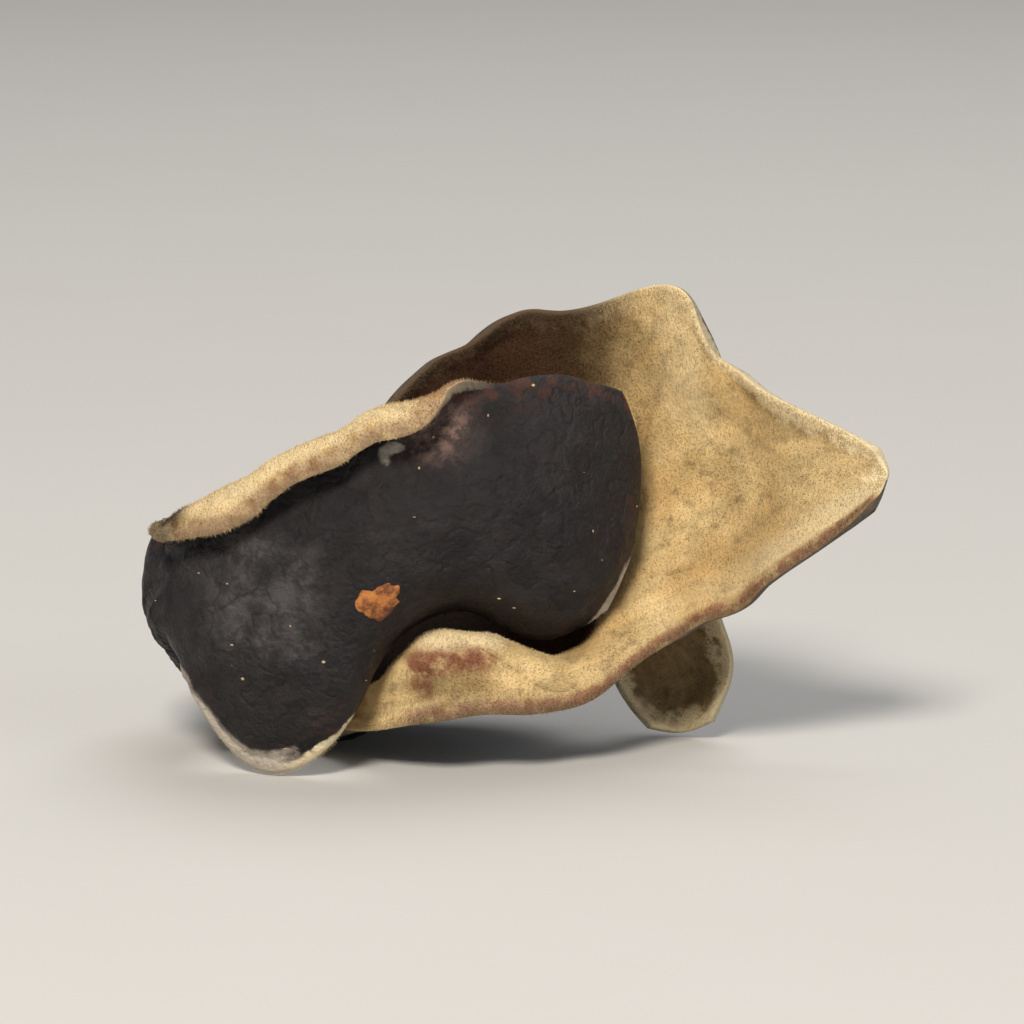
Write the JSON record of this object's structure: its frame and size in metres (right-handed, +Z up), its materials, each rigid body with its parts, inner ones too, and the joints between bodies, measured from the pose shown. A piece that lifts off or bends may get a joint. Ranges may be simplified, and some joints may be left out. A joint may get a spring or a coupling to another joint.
{
  "type": "dried wood ear mushroom",
  "caption": "Dried wood ear mushroom, a thin leathery sheet curled into a roll, dark on its outer face and tan and felted on its inner face.",
  "frame": {"origin": "centre of the bounding box in plan, at the height that the piece rests on", "axes": "+X to the right along the piece's longest extent, towards the tip of its fan; +Y away from the front, across its shortest extent; +Z up"},
  "size_m": [0.02, 0.01, 0.0125],
  "materials": {
    "dried_flesh": "satin on the dark face, matt and felted on the tan face"
  },
  "bodies": {
    "root": {"wood_ear": "dried_flesh"}
  },
  "joints": []
}
